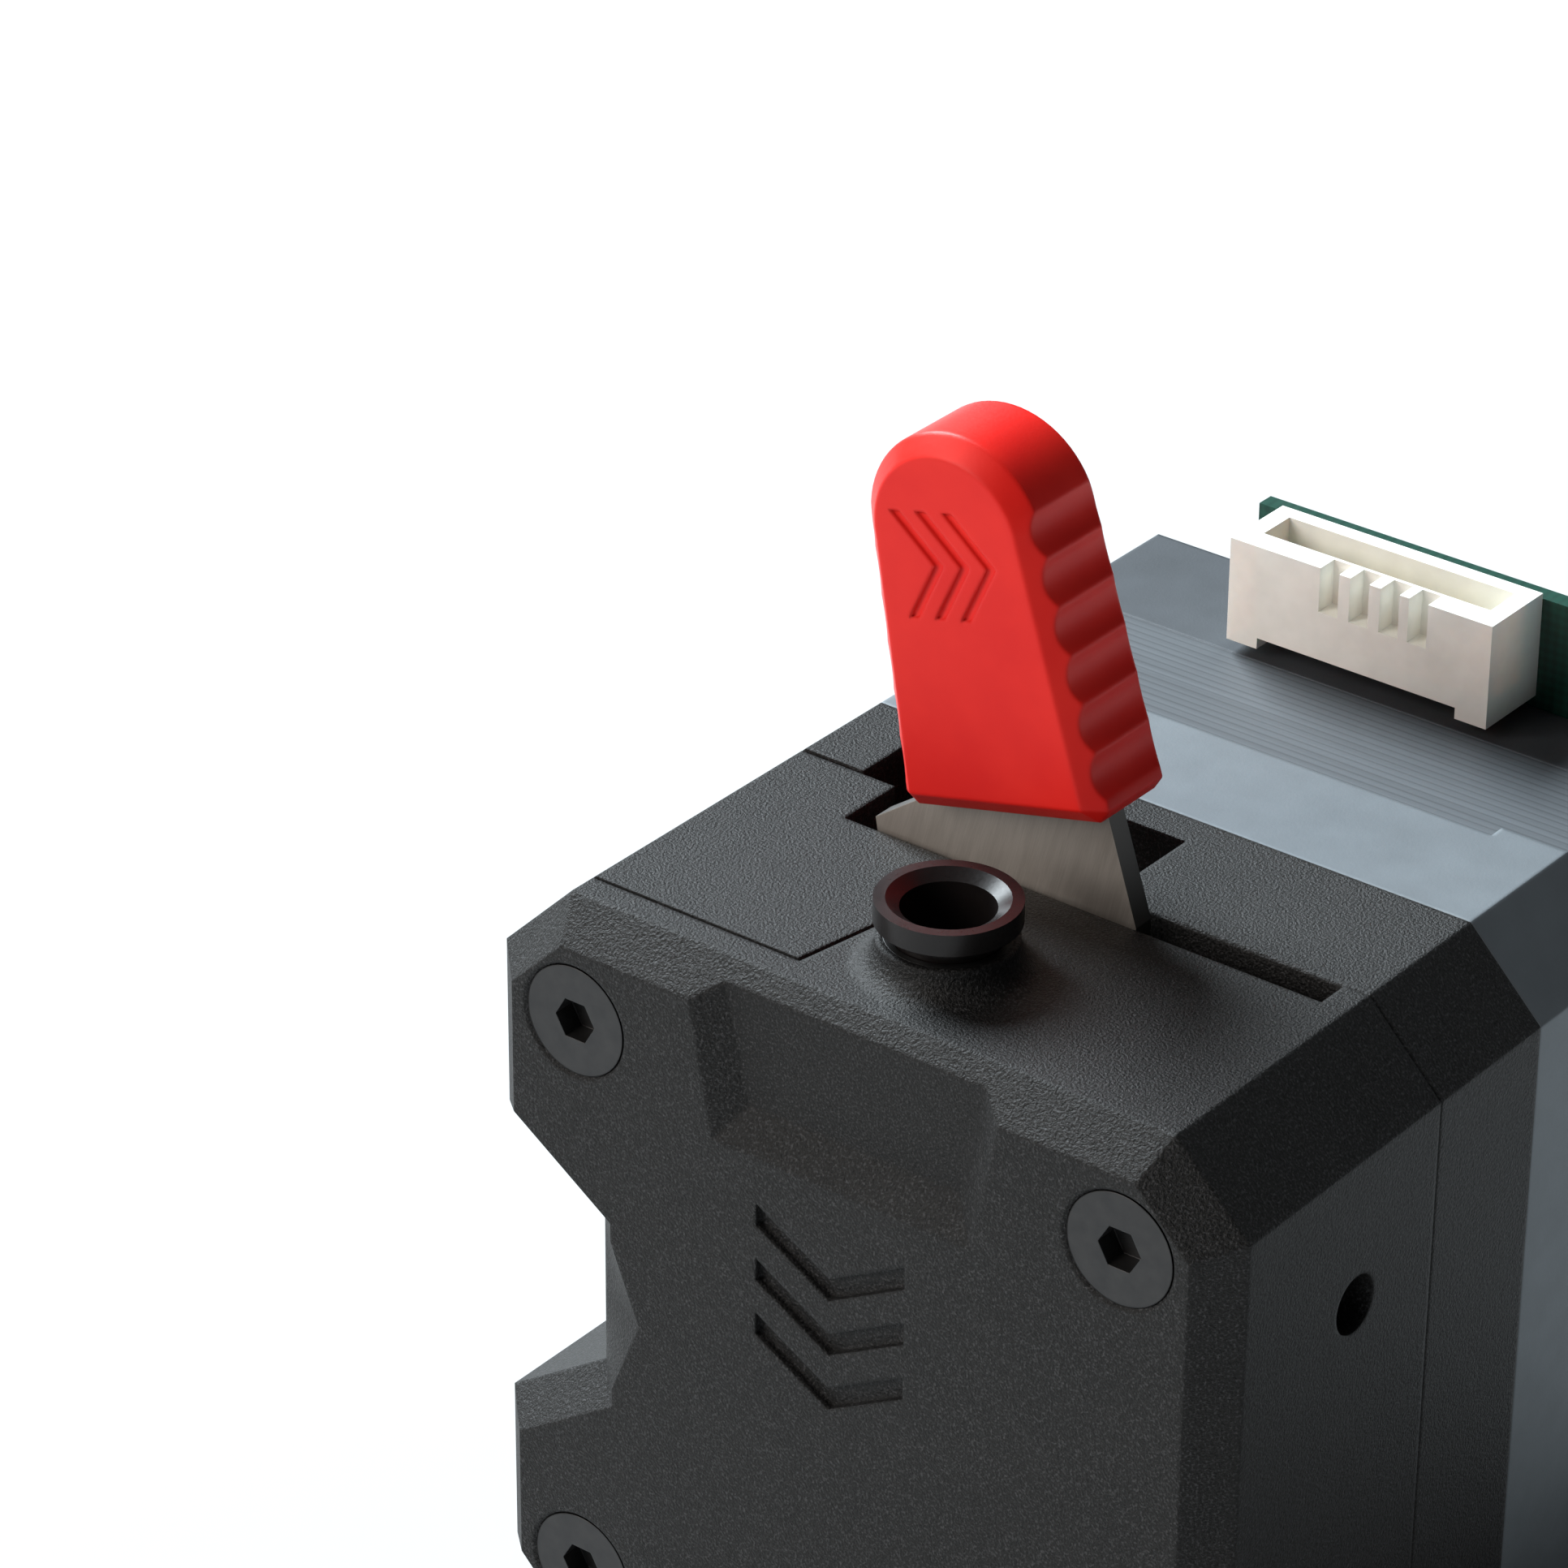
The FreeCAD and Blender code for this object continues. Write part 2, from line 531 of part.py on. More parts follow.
arm_front = "cover_y + arm_gap"
ear_slab = prism("arm_ear", [("left_x + corner", "top_z"), ("-2", "top_z"), ("-2", "31"),
                             ("waist_x", "waist_top - waist_rise"), ("left_x", "waist_top"),
                             ("left_x", "top_z - corner")], arm_front, "arm_back")
arm_limit = cone("arm_limit", "screw_left", arm_front, "screw_high", "seam_radius",
                 "seam_radius + seam_slope * (arm_back - cover_y)", f"arm_back - ({arm_front})", ALONG_Y)
ear_rear = prism("arm_ear_rear", [("left_x + corner", "top_z"), ("arm_ear_x", "top_z"),
                                  ("arm_ear_x", "30.2"), ("left_x", "30.2"), ("left_x", "top_z - corner")],
                 "arm_back - 0.5", "arm_ear_back")
web = prism("arm_web", [("waist_x", "33"), ("-4.7", "33"), ("-4.7", "31.4"), ("-3.6", "30.3"),
                        ("-3.6", "8.4"), ("-9", "8.4"), ("-10.6", "12.6"), ("waist_x", "19.8")],
            arm_front, "arm_back")
cheeks = rod_y("arm_cheeks", "-gear_offset", "drive_z", "4.4", arm_front, "arm_back")
LUG_RISE = ("lug_low", "lug_high")
lug = box("arm_cam_lug", ("-9.5", "-3.6"), ("arm_back - 0.5", "9.4"), LUG_RISE)
follower = box("arm_cam_follower", ("-6", "follower_x"), ("arm_back + 0.1", "9.4"), LUG_RISE)
tail = box("arm_tail", ("-9.5", "-5.5"), ("9.3", "15.4"), LUG_RISE)
spring_nub = rod_x("arm_spring_nub", "spring_y", "spring_z", "1.3", "-10.7", "-9.4")
arm_tools = [
    rod_y("idler_slot", "-gear_offset", "drive_z", "gear_tip + 0.4", "-2.4", "5.4"),
    rod_y("arm_bore", "screw_left", "screw_high", "sleeve_outer + running", "-6", "14"),
    rod_y("axle_hole", "-gear_offset", "drive_z", "axle_radius", "-6", "14"),
]
idler_arm = cut("idler_arm", fuse("arm_blank", [common("arm_ear_trimmed", [ear_slab, arm_limit]), ear_rear,
                                                web, cheeks, lug, follower, tail, spring_nub]), arm_tools)
idler_axle = rod_y("idler_axle", "-gear_offset", "drive_z", "axle_radius", arm_front, "arm_back")
idler_gear = shape_node("idler_gear", filament_gear(3.25, math.pi / SYNC_TEETH))
idler_gear.Placement = Placement(Vector(-gear_x, 0, gear_z), Rotation())


def needle_bearing():
    """Drawn cup with a ring of needles that run on the idler axle."""
    needle, cup = 0.5, 3.25
    middle = dim("axle_radius") + needle + 0.02
    solids = [solid_rod(cup, -1.5, 4.5).cut(solid_rod(middle + needle + 0.02, -2, 5))]
    for k in range(11):
        roller = solid_rod(needle, -1.2, 4.2)
        angle = 2 * math.pi * k / 11
        roller.translate(Vector(middle * math.cos(angle), 0, middle * math.sin(angle)))
        solids.append(roller)
    return Part.makeCompound(solids)


idler_needle_bearing = shape_node("idler_needle_bearing", needle_bearing())
idler_needle_bearing.Placement = Placement(Vector(-gear_x, 0, gear_z), Rotation())


def coil_spring(radius, wire, length, turns):
    """Helical compression spring along +X."""
    helix = Part.makeHelix((length - 2 * wire) / turns, length - 2 * wire, radius)
    section = Part.Wire(Part.makeCircle(wire, Vector(radius, 0, 0), Vector(0, 1, 0)))
    spring = Part.Wire(helix).makePipeShell([section], True, True)
    spring.translate(Vector(0, 0, wire))
    return spring


tension_spring = shape_node("tension_spring", coil_spring(2.1, 0.38, 8.3, 6))
tension_spring.Placement = Placement(
    Vector(dim("spring_seat") + 0.5, dim("spring_y"), dim("spring_z")), ALONG_X)

# --- release lever ---------------------------------------------------------------------------

LEAN = math.radians(dim("lever_lean"))
HANDLE_FOOT = (-1.4, 46.8)


def along(across, up):
    """Point in the X-Z plane from the handle's own coordinates, foot centre first."""
    return (f"{HANDLE_FOOT[0] + across * math.cos(LEAN) - up * math.sin(LEAN):.4f}",
            f"{HANDLE_FOOT[1] + across * math.sin(LEAN) + up * math.cos(LEAN):.4f}")


TANG_LEFT, TANG_RIGHT, TANG_TOP = -3.0, 4.5, 13.0
plate_points = [("-10.2", "42.9"), along(-5.3, 0.0), along(TANG_LEFT, 0.0), along(TANG_LEFT, TANG_TOP),
                along(TANG_RIGHT, TANG_TOP), along(TANG_RIGHT, 0.0), ("4.85", "42.25"), ("4.6", "33"),
                ("6.2", "28.6"), ("-1.9", "28.8"), ("-2.9", "31.9"), ("-9.9", "41.2")]
lever_web, lever_pad = plate_body("lever_plate_web", plate_points, "plate_front", "plate_back")
lever_cam = rod_y("lever_cam", "cam_x", "cam_z", "cam_radius", "plate_front", "plate_back")
lever_plate = cut("lever_plate", fuse("lever_plate_blank", [lever_web, lever_cam]),
                  [rod_y("lever_bore", "lever_x", "lever_z", "axle_radius + running", "6", "12")])


HEEL, RIM = 0.6, 0.9
SCALLOPS, SCALLOP_PITCH, SCALLOP_RADIUS, SCALLOP_DEPTH = 6, 2.35, 2.2, 0.3
MARK_HEIGHT, MARK_REACH, MARK_STROKE, MARK_DEPTH = 12.4, 2.6, 0.5, 0.2


def handle_mark(index, front):
    """Engraved chevron that points the way the lever flips."""
    x = -2.9 + 1.5 * index
    corners = [(x, MARK_REACH), (x + 2, 0), (x, -MARK_REACH), (x + MARK_STROKE, -MARK_REACH),
               (x + 2 + MARK_STROKE, 0), (x + MARK_STROKE, MARK_REACH)]
    ring = [Vector(px, front - 1, MARK_HEIGHT + pz) for px, pz in corners]
    return Part.Face(Part.makePolygon(ring + ring[:1])).extrude(Vector(0, 1 + MARK_DEPTH, 0))


def handle_shape():
    """Grip in its own frame: across X, up Z, centred on the plate; foot at the origin."""
    half, top, depth = dim("handle_width") / 2, dim("handle_top"), dim("handle_depth")
    front, crown = -depth / 2, half - dim("handle_taper")
    centre = top - crown
    right = [(half - HEEL, 0), (half, HEEL), (crown, centre)]
    up = [Vector(x, front, z) for x, z in right]
    down = [Vector(-x, front, z) for x, z in reversed(right)]
    edges = [Part.LineSegment(a, b).toShape() for a, b in zip(up[:-1], up[1:])]
    edges.append(Part.Arc(up[-1], Vector(0, front, top), down[0]).toShape())
    edges += [Part.LineSegment(a, b).toShape() for a, b in zip(down, down[1:] + up[:1])]
    grip = Part.Face(Part.Wire(edges)).extrude(Vector(0, depth, 0))
    rims = [e for e in grip.Edges if abs(abs(e.CenterOfMass.y) - depth / 2) < 1e-6]
    grip = grip.makeChamfer(RIM, rims)
    for k in range(SCALLOPS):
        height = 2.4 + SCALLOP_PITCH * k
        reach = half - dim("handle_taper") * (height - HEEL) / (centre - HEEL)
        for side in (-1, 1):
            middle = side * (reach + SCALLOP_RADIUS - SCALLOP_DEPTH)
            grip = grip.cut(Part.makeCylinder(SCALLOP_RADIUS, depth + 2, Vector(middle, front - 1, height),
                                              Vector(0, 1, 0)))
    for k in range(3):
        grip = grip.cut(handle_mark(k, front))
    thickness = dim("plate_back") - dim("plate_front")
    tang = Part.makeBox(TANG_RIGHT - TANG_LEFT, thickness, TANG_TOP + 1,
                        Vector(TANG_LEFT, -thickness / 2, -1))
    return grip.cut(tang)


lever_handle = shape_node("lever_handle", handle_shape())
lever_handle.Placement = Placement(
    Vector(HANDLE_FOOT[0], (dim("plate_front") + dim("plate_back")) / 2, HANDLE_FOOT[1]),
    Rotation(Vector(0, 1, 0), -dim("lever_lean")))

# --- motor: fixed parts ----------------------------------------------------------------------

bell_body, bell_pad = plate_body("front_bell_blank", SQUARE, "motor_y", "bell_back")
LUG_SPAN = {"left": ("-22", "-lug_inner"), "low": ("-22", "-lug_inner"),
            "right": ("lug_inner", "22"), "high": ("lug_inner", "22")}


def corner_lug(sx, sz):
    """Block that keeps one corner of the front bell longer than its sides."""
    x, z = ([f"{centre} + ({end})" for end in LUG_SPAN[side]]
            for centre, side in (("motor_x", sx), ("motor_z", sz)))
    return box(f"lug_{sx}_{sz}", x, ("bell_back - 2", "bell_back + 2"), z)


lugs = common("front_bell_lugs", [prism("lug_square", SQUARE, "bell_back - 1", "bell_back + lug_length"),
                                  fuse("lug_blocks", [corner_lug(sx, sz) for sx, sz in CORNERS])])
pilot = rod_y("motor_pilot", "motor_x", "motor_z", "11", "pilot_y", "motor_y + 1")
bell_ring = cut("front_bell_cavity",
                rod_y("bell_cavity_rod", "motor_x", "motor_z", "winding_radius", "20", "30"),
                [rod_y("bell_hub", "motor_x", "motor_z", "hub_radius", "19", "22.6")])
motor_front_bell = cut("motor_front_bell", fuse("front_bell_solid", [bell_body, lugs, pilot]), [
    bell_ring, rod_y("bell_shaft_hole", "motor_x", "motor_z", "3.4", "15", "20"),
    rod_y("bell_bearing_seat", "motor_x", "motor_z", "race_radius", "18.6", "24"),
] + screw_holes("bell_hole", "screw_radius", "motor_y - 1", "bell_back + 2"))


def polar_box(x, z, low, high, half_size, y0, y1):
    """Radial block from low to high on the +X side, half_size to each side."""
    return Part.makeBox(high - low, y1 - y0, 2 * half_size, Vector(x + low, y0, z - half_size))


def stator_shape():
    """Laminated core: a square frame with eight shoed poles, seen as one stack."""
    y0, y1 = dim("bell_back"), dim("core_back")
    bore = dim("rotor_radius") + 0.1
    stack = doc.getObject("core_square").Shape.cut(solid_rod(17.4, y0 - 1, y1 + 1).translated(
        Vector(motor_x, 0, motor_z)))
    shoe_ring = solid_rod(12.1, y0, y1).cut(solid_rod(bore, y0 - 1, y1 + 1))
    shoe_ring.translate(Vector(motor_x, 0, motor_z))
    for k in range(8):
        pole = polar_box(motor_x, motor_z, 11.5, 17.6, 2.0, y0, y1)
        shoe = polar_box(motor_x, motor_z, 10, 12.5, 3.4, y0, y1).common(shoe_ring)
        for piece in (pole, shoe):
            piece.rotate(Vector(motor_x, 0, motor_z), Vector(0, 1, 0), 45 * k)
            stack = stack.fuse(piece)
    for sx, sz in CORNERS:
        hole = solid_rod(dim("screw_clear"), y0 - 1, y1 + 1)
        hole.translate(Vector(dim(f"screw_{sx}"), 0, dim(f"screw_{sz}")))
        stack = stack.cut(hole)
    notches = doc.getObject("front_bell_lugs").Shape
    return stack.cut(notches)


def coils_shape():
    """Eight wound coils, one round each pole, standing proud of the stack at both ends."""
    y0, y1 = dim("bell_back") - 2.0, dim("core_back") + 2.0
    coils = []
    for k in range(8):
        coil = polar_box(motor_x, motor_z, 12.6, 16.9, 3.1, y0, y1)
        coil = coil.cut(polar_box(motor_x, motor_z, 12, 18, 2.05, y0 + 1.9, y1 - 1.9))
        coil.rotate(Vector(motor_x, 0, motor_z), Vector(0, 1, 0), 45 * k)
        coils.append(coil)
    return Part.makeCompound(coils)


prism("core_square", SQUARE, "bell_back", "core_back")
doc.recompute()
motor_stator_core = shape_node("motor_stator_core", stator_shape())
motor_coils = shape_node("motor_coils", coils_shape())

end_body, end_pad = plate_body("rear_bell_blank", SQUARE, "core_back", "motor_back")
motor_rear_bell = cut("motor_rear_bell", end_body, [
    cut("rear_bell_cavity",
        rod_y("rear_cavity_rod", "motor_x", "motor_z", "winding_radius", "core_back - 1", "38.6"),
        [rod_y("rear_hub", "motor_x", "motor_z", "hub_radius", "35.3", "39")]),
    rod_y("rear_bearing_bore", "motor_x", "motor_z", "race_radius", "core_back - 1", "39.9"),
    box("pcb_slot", ("-9.2", "10.7"), ("pcb_front - 0.15", "pcb_back + 0.15"), ("33.8", "43")),
] + screw_holes("tie_head_seat", "2.9", "motor_back - 1.9", "motor_back + 1")
    + screw_holes("tie_hole", "screw_radius", "core_back - 1", "motor_back + 1"))
motor_wave_washer = tube("motor_wave_washer", "motor_x", "motor_z", "5", "6.4", "39.45", "39.85")


def tie_screw(name, sx, sz):
    """Pan head screw that ties the rear bell to the front bell."""
    x, z = f"screw_{sx}", f"screw_{sz}"
    head = rod_y(name + "_head", x, z, "2.75", "motor_back - 1.9", "motor_back - 0.1")
    shank = rod_y(name + "_shank", x, z, "screw_radius", "24.4", "motor_back - 1")
    slots = [box(f"{name}_slot_{i}", (f"{x} - {a}", f"{x} + {a}"), ("motor_back - 1.1", "motor_back + 1"),
                 (f"{z} - {b}", f"{z} + {b}")) for i, (a, b) in enumerate([(1.6, 0.3), (0.3, 1.6)])]
    return cut(name, fuse(name + "_blank", [head, shank]), slots)


motor_tie_screws = group("motor_tie_screws", [tie_screw(f"tie_screw_{sx}_{sz}", sx, sz)
                                              for sx, sz in CORNERS])
motor_pcb = box("motor_pcb", ("-9", "10.5"), ("pcb_front", "pcb_back"), ("34", "48.2"))

# --- motor: connector ------------------------------------------------------------------------

PIN_X = [-5.0 + 2.0 * k for k in range(6)]
shroud = box("connector_block", ("-7.6", "7.6"), ("plug_front", "pcb_front - 0.02"), ("42.9", "48.5"))
windows = [box(f"connector_window_{i}", (f"{x} - 0.55", f"{x} + 0.55"),
               ("plug_front - 0.3", "plug_front + 1.2"), ("46.1", "48.9"))
           for i, x in enumerate([-1.75, 0.0, 1.75, 3.4])]
foot_gap = box("connector_gap", ("-5.8", "5.8"), ("plug_front - 0.3", "plug_front + 1"), ("42.8", "43.5"))
cable_mouth = box("connector_mouth", ("-6.6", "6.6"), ("plug_front + 1.4", "pcb_front - 0.9"), ("44", "49"))
pin_holes = [box(f"pin_hole_{i}", (f"{x} - 0.25", f"{x} + 0.25"),
                 ("plug_front + 2.3", "plug_front + 2.8"), ("42.8", "45")) for i, x in enumerate(PIN_X)]
motor_connector = cut("motor_connector", shroud, windows + [foot_gap, cable_mouth] + pin_holes)
motor_connector_pins = group("motor_connector_pins", [
    box(f"connector_pin_{i}", (f"{x} - 0.25", f"{x} + 0.25"),
        ("plug_front + 2.3", "plug_front + 2.8"), ("42.9", "47.6")) for i, x in enumerate(PIN_X)])

# --- motor: rotor ----------------------------------------------------------------------------


def motor_shaft_shape():
    """Round shaft whose front end is cut as the pinion."""
    pinion = gear_face(PINION_TEETH, SYNC_MODULE, TRAIN_SHIFT, TRAIN_THINNING, mesh_angle)
    pinion.translate(Vector(0, 12.25, 0))
    return pinion.extrude(Vector(0, 3.7, 0)).fuse(solid_rod(dim("shaft_radius"), 15.95, 39.6))


motor_shaft = shape_node("motor_shaft", motor_shaft_shape())
motor_shaft.Placement = Placement(Vector(motor_x, 0, motor_z), Rotation())
rotor_cups = group("rotor_cups", [
    tube("rotor_cup_front", "motor_x", "motor_z", "shaft_radius", "rotor_radius", "25.7", "28.9"),
    tube("rotor_cup_rear", "motor_x", "motor_z", "shaft_radius", "rotor_radius", "29.9", "33")])
rotor_magnet = tube("rotor_magnet", "motor_x", "motor_z", "shaft_radius", "9", "28.9", "29.9")

# --- export ----------------------------------------------------------------------------------

NODES = [front_shell, rear_shell, cover_screws, arm_pivot_sleeve, lever_pivot_pin, lever_washer,
         threaded_inserts, fitting_sleeve, fitting_o_ring, inlet_collet, inlet_guide, outlet_guide,
         front_bearing, rear_bearing, drive_shaft, drive_spacer, drive_gear, reduction_wheel, idler_arm,
         idler_axle, idler_gear, idler_needle_bearing, tension_spring, lever_plate, lever_handle,
         motor_front_bell, motor_stator_core, motor_coils, motor_rear_bell, motor_front_bearing,
         motor_rear_bearing, motor_wave_washer, motor_tie_screws, motor_pcb, motor_connector,
         motor_connector_pins, motor_shaft, rotor_cups, rotor_magnet]


def write_parts():
    doc.recompute()
    failed = [o.Name for o in doc.Objects if "Invalid" in o.State or "Error" in o.State]
    if failed:
        raise RuntimeError(f"failed objects: {failed}")
    os.makedirs("parts", exist_ok=True)
    for node in NODES:
        shape = node.Shape
        if shape.isNull() or not shape.isValid() or not shape.Solids:
            raise RuntimeError(f"bad shape: {node.Label}")
        print(f"{node.Label:24s} solids {len(shape.Solids):2d} volume {shape.Volume:9.1f}")
        shape.exportStep(f"parts/{node.Label}.step")


write_parts()
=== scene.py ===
import json
import math

import bmesh
import bpy
from mathutils import Matrix, Vector

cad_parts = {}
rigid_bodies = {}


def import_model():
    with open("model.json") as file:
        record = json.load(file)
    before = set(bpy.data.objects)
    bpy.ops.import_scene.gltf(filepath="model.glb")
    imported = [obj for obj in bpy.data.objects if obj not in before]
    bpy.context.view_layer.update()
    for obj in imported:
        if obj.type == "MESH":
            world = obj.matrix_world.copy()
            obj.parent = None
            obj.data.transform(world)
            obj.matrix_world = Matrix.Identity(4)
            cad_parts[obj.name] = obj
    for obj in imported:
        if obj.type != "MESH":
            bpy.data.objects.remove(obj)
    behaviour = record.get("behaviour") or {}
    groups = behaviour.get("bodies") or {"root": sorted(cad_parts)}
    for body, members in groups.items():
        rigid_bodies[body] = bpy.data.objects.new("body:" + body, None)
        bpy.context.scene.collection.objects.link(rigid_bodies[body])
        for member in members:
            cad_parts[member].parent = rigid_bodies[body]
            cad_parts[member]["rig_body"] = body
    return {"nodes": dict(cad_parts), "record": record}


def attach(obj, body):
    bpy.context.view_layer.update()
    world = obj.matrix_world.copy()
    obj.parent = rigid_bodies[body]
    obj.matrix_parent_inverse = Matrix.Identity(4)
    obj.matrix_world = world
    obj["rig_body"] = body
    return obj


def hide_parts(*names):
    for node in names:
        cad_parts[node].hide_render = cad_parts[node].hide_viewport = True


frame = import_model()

MM = 0.001
NODES = frame["nodes"]
SLOT_OF = {part["node"]: part["material_slot"] for part in frame["record"]["subparts"]}


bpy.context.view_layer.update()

# --- node-tree helpers -------------------------------------------------------------------------

BEVEL_SAMPLES = 6
WAVE_TURN = 20  # a wave texture of scale 1 turns once in 2 pi / 20 of its unit
MIX_A, MIX_B, MIXED = 6, 7, 2  # colour sockets of the mix node
DARK, LIGHT = 0.3, 0.7  # where most of a noise texture's values lie


class Look:
    """A material under construction: one Principled shader and the nodes that feed it."""

    def __init__(self, name, **sockets):
        self.material = bpy.data.materials.new(name)
        self.material.use_nodes = True
        self.nodes = self.material.node_tree.nodes
        self.links = self.material.node_tree.links
        self.shader = self.nodes["Principled BSDF"]
        for socket, value in sockets.items():
            self.shader.inputs[socket.replace("_", " ")].default_value = value
        self.place = self.nodes.new("ShaderNodeTexCoord").outputs["Object"]
        self.normal = None

    def rounded(self, radius):
        """Shades sharp edges as if they were rounded over by the radius."""
        node = self.nodes.new("ShaderNodeBevel")
        node.samples = BEVEL_SAMPLES
        node.inputs["Radius"].default_value = radius
        self.normal = node.outputs["Normal"]
        self.links.new(self.normal, self.shader.inputs["Normal"])
        return self

    def feed(self, socket, value):
        if isinstance(value, bpy.types.NodeSocket):
            self.links.new(value, socket)
        else:
            socket.default_value = value

    def mapped(self, scale=(1, 1, 1), turn=(0, 0, 0)):
        """Object coordinates, turned and then scaled along the turned axes."""
        turned = self.nodes.new("ShaderNodeVectorRotate")
        turned.rotation_type = "EULER_XYZ"
        self.feed(turned.inputs["Vector"], self.place)
        turned.inputs["Rotation"].default_value = turn
        scaled = self.nodes.new("ShaderNodeVectorMath")
        scaled.operation = "MULTIPLY"
        self.links.new(turned.outputs[0], scaled.inputs[0])
        scaled.inputs[1].default_value = scale
        return scaled.outputs[0]

    def noise(self, scale, detail=2.0, rough=0.5, vector=None):
        """Fractal noise; scale is in features per metre."""
        node = self.nodes.new("ShaderNodeTexNoise")
        self.links.new(vector or self.place, node.inputs["Vector"])
        node.inputs["Scale"].default_value = scale
        node.inputs["Detail"].default_value = detail
        node.inputs["Roughness"].default_value = rough
        return node.outputs["Fac"]

    def facing_y(self):
        """1 where the surface faces along Y, 0 on edges that face along X or Z."""
        split = self.nodes.new("ShaderNodeSeparateXYZ")
        self.links.new(self.nodes.new("ShaderNodeNewGeometry").outputs["Normal"], split.inputs[0])
        size = self.nodes.new("ShaderNodeMath")
        size.operation = "ABSOLUTE"
        self.links.new(split.outputs["Y"], size.inputs[0])
        return self.ramp(size.outputs[0], [(0.5, 0.0), (0.8, 1.0)])

    def bands(self, pitch, axis="Y"):
        """Fine parallel lines at the given pitch in metres."""
        node = self.nodes.new("ShaderNodeTexWave")
        node.bands_direction = axis
        self.links.new(self.place, node.inputs["Vector"])
        node.inputs["Scale"].default_value = 2 * math.pi / (WAVE_TURN * pitch)
        node.inputs["Distortion"].default_value = 0.0
        return node.outputs["Fac"]

    def ramp(self, fac, stops):
        """Colour ramp from (position, colour) stops; a number stands for a grey."""
        node = self.nodes.new("ShaderNodeValToRGB")
        self.links.new(fac, node.inputs["Fac"])
        ramp = node.color_ramp
        while len(ramp.elements) < len(stops):
            ramp.elements.new(0.5)
        for element, (position, colour) in zip(ramp.elements, stops):
            element.position = position
            grey = (colour,) * 3 if isinstance(colour, (int, float)) else tuple(colour)
            element.color = (*grey[:3], 1.0)
        return node.outputs["Color"]

    def mix(self, fac, a, b, blend="MIX"):
        node = self.nodes.new("ShaderNodeMix")
        node.data_type = "RGBA"
        node.blend_type = blend
        self.feed(node.inputs["Factor"], fac)
        for slot, value in ((MIX_A, a), (MIX_B, b)):
            if isinstance(value, (tuple, list)):
                value = (*value[:3], 1.0)
            self.feed(node.inputs[slot], value)
        return node.outputs[MIXED]

    def colour(self, value):
        self.links.new(value, self.shader.inputs["Base Color"])
        return self

    def rough(self, fac, low, high):
        node = self.nodes.new("ShaderNodeMapRange")
        self.links.new(fac, node.inputs["Value"])
        node.inputs["To Min"].default_value = low
        node.inputs["To Max"].default_value = high
        self.links.new(node.outputs["Result"], self.shader.inputs["Roughness"])
        return self

    def bump(self, height, depth, strength=1.0):
        """Surface relief; depth is in metres, and calls stack."""
        node = self.nodes.new("ShaderNodeBump")
        node.inputs["Distance"].default_value = depth
        node.inputs["Strength"].default_value = strength
        self.links.new(height, node.inputs["Height"])
        if self.normal:
            self.links.new(self.normal, node.inputs["Normal"])
        self.normal = node.outputs["Normal"]
        self.links.new(self.normal, self.shader.inputs["Normal"])
        return self


def tinted(look, base, spread, scale, detail=3.0):
    """Base colour with a slow, slight change in lightness over the surface."""
    low = tuple(c * (1 - spread) for c in base)
    high = tuple(min(1.0, c * (1 + spread)) for c in base)
    return look.ramp(look.noise(scale, detail), [(DARK, low), (LIGHT, high)])


# --- materials ---------------------------------------------------------------------------------

SHEET_PITCH = 0.5 * MM
WEAVE_PITCH = 0.5 * MM
LEVER_LEAN = math.radians(-14)

# radius that a material's sharp edges are shaded with
MOULDED_EDGE = 0.3 * MM
NYLON_EDGE = 0.35 * MM
SCREW_EDGE = 0.08 * MM
PLATE_EDGE = 0.06 * MM

# depth of surface relief
NYLON_RELIEF = 0.10 * MM
NYLON_WAVE = 0.06 * MM
RED_RELIEF = 0.012 * MM
CAST_RELIEF = 0.01 * MM
MOULDED_RELIEF = 0.008 * MM
STEEL_RELIEF = 0.006 * MM
BRUSH_RELIEF = 0.004 * MM
PAPER_RELIEF = 0.02 * MM

# noise textures, in features per metre
NYLON_GRAIN, NYLON_GLINT_SPECK, NYLON_BLOTCH = 7000, 7800, 300
CLOUD = 260
SKIN = 6000


def sintered_nylon():
    """Powder-fused nylon dyed black: a dense crumbly grain, with painted shade in its low spots and
    bright speckles painted into the colour as glints.
    """
    look = Look("sintered_nylon", Specular_IOR_Level=0.27).rounded(NYLON_EDGE)
    grain = look.noise(NYLON_GRAIN, 2.0, 0.65)
    blotch = look.noise(NYLON_BLOTCH, 4.0, 0.6)
    base = look.ramp(blotch, [(DARK, (0.0072, 0.0070, 0.0069)), (LIGHT, (0.0102, 0.0099, 0.0097))])
    # painted glints: bright speckles put into the colour at random
    glint_specks = look.ramp(look.noise(NYLON_GLINT_SPECK, 1.0, 0.5), [(0.50, 0.0), (0.78, 1.0)])
    base = look.mix(glint_specks, base, (0.058, 0.058, 0.061))
    # painted shade: the grain's low spots, which the bump sinks, are darkened
    pit_shade = look.ramp(grain, [(0.34, 1.0), (0.50, 0.0)])
    look.colour(look.mix(pit_shade, base, (0.0022, 0.0022, 0.0025)))
    look.rough(grain, 0.42, 0.70)
    return look.bump(grain, NYLON_RELIEF).bump(blotch, NYLON_WAVE, 0.3)


def satin_steel(name, base, scale=900, low=0.28, high=0.42, metallic=1.0):
    """Machined or ground steel with a soft cloudy finish."""
    look = Look(name, Metallic=metallic)
    look.colour(tinted(look, base, 0.14, scale))
    fine = look.noise(scale * 7, 2.0)
    return look.rough(fine, low, high).bump(fine, STEEL_RELIEF, 0.5)


